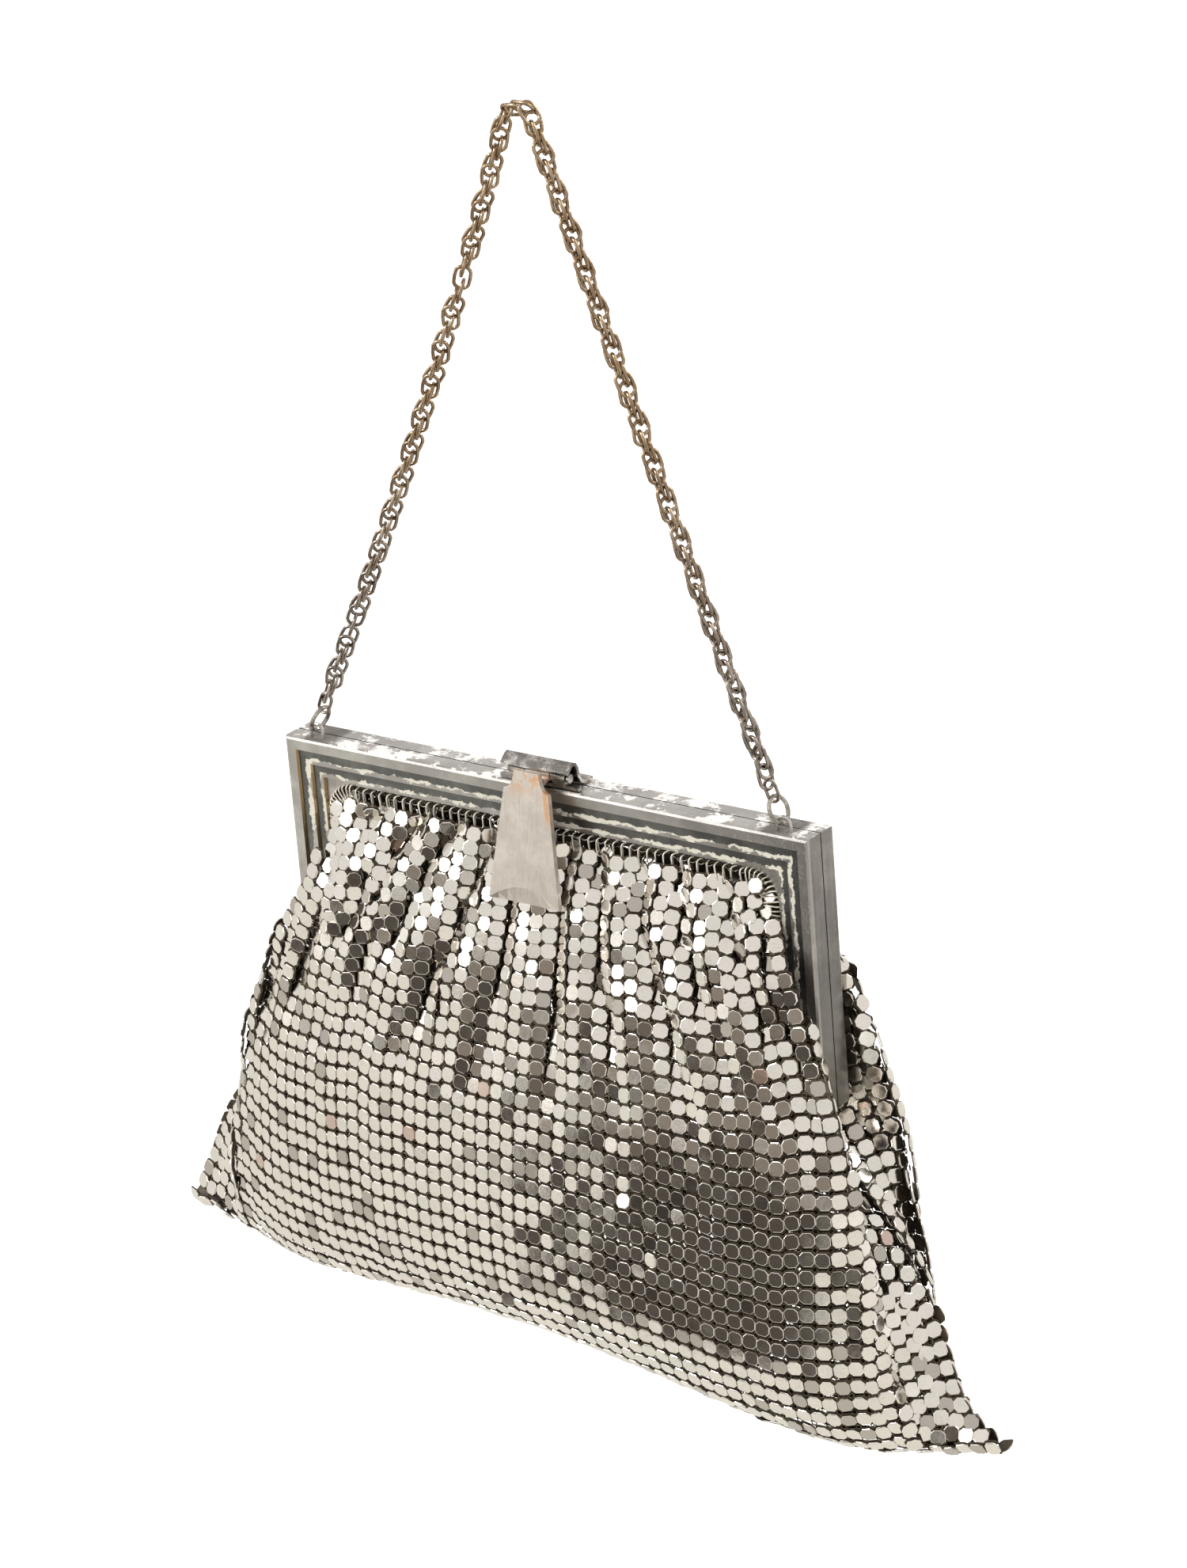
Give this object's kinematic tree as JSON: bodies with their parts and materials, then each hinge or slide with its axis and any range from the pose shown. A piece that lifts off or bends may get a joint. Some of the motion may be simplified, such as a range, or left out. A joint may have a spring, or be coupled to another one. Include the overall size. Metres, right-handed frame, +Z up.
{
  "type": "metal mesh purse",
  "caption": "Evening purse of small linked metal plates, gathered on a stepped hinged metal frame with a lift-tab clasp, held up by its thin chain handle.",
  "frame": {"origin": "the point under the top of the chain handle from which the purse hangs", "axes": "+Z up, +X along the frame to the right as seen from the clasp's side, -Y to the front, where the tab is"},
  "size_m": [0.2338, 0.0452, 0.2835],
  "materials": {
    "frame_metal": "worn silver plate with dark patina in the steps",
    "rail_metal": "blackened wire",
    "ring_metal": "tarnished silver plate",
    "chain_metal": "aged, brown in the hollows",
    "tab_metal": "satin, scratched, with rust at the neck",
    "plate_metal": "polished plates, lightly tarnished, dark between them"
  },
  "bodies": {
    "purse": {"front_frame": "frame_metal", "back_frame": "frame_metal", "hinge_left": "frame_metal", "hinge_right": "frame_metal", "front_rail": "rail_metal", "back_rail": "rail_metal", "jump_ring_left": "ring_metal", "jump_ring_right": "ring_metal", "end_link_left": "chain_metal", "end_link_right": "chain_metal", "chain": "chain_metal", "clasp_base": "frame_metal", "clasp_pin": "frame_metal", "clasp_hood": "frame_metal", "mesh_pouch": "plate_metal"},
    "tab": {"clasp_tab": "tab_metal"}
  },
  "joints": [
    {"name": "tab_lift", "type": "hinge", "parent": "purse", "child": "tab", "pos_m": [0, -0.011, -0.1435], "axis": [-1, 0, 0], "range_deg": [0, 40]}
  ]
}
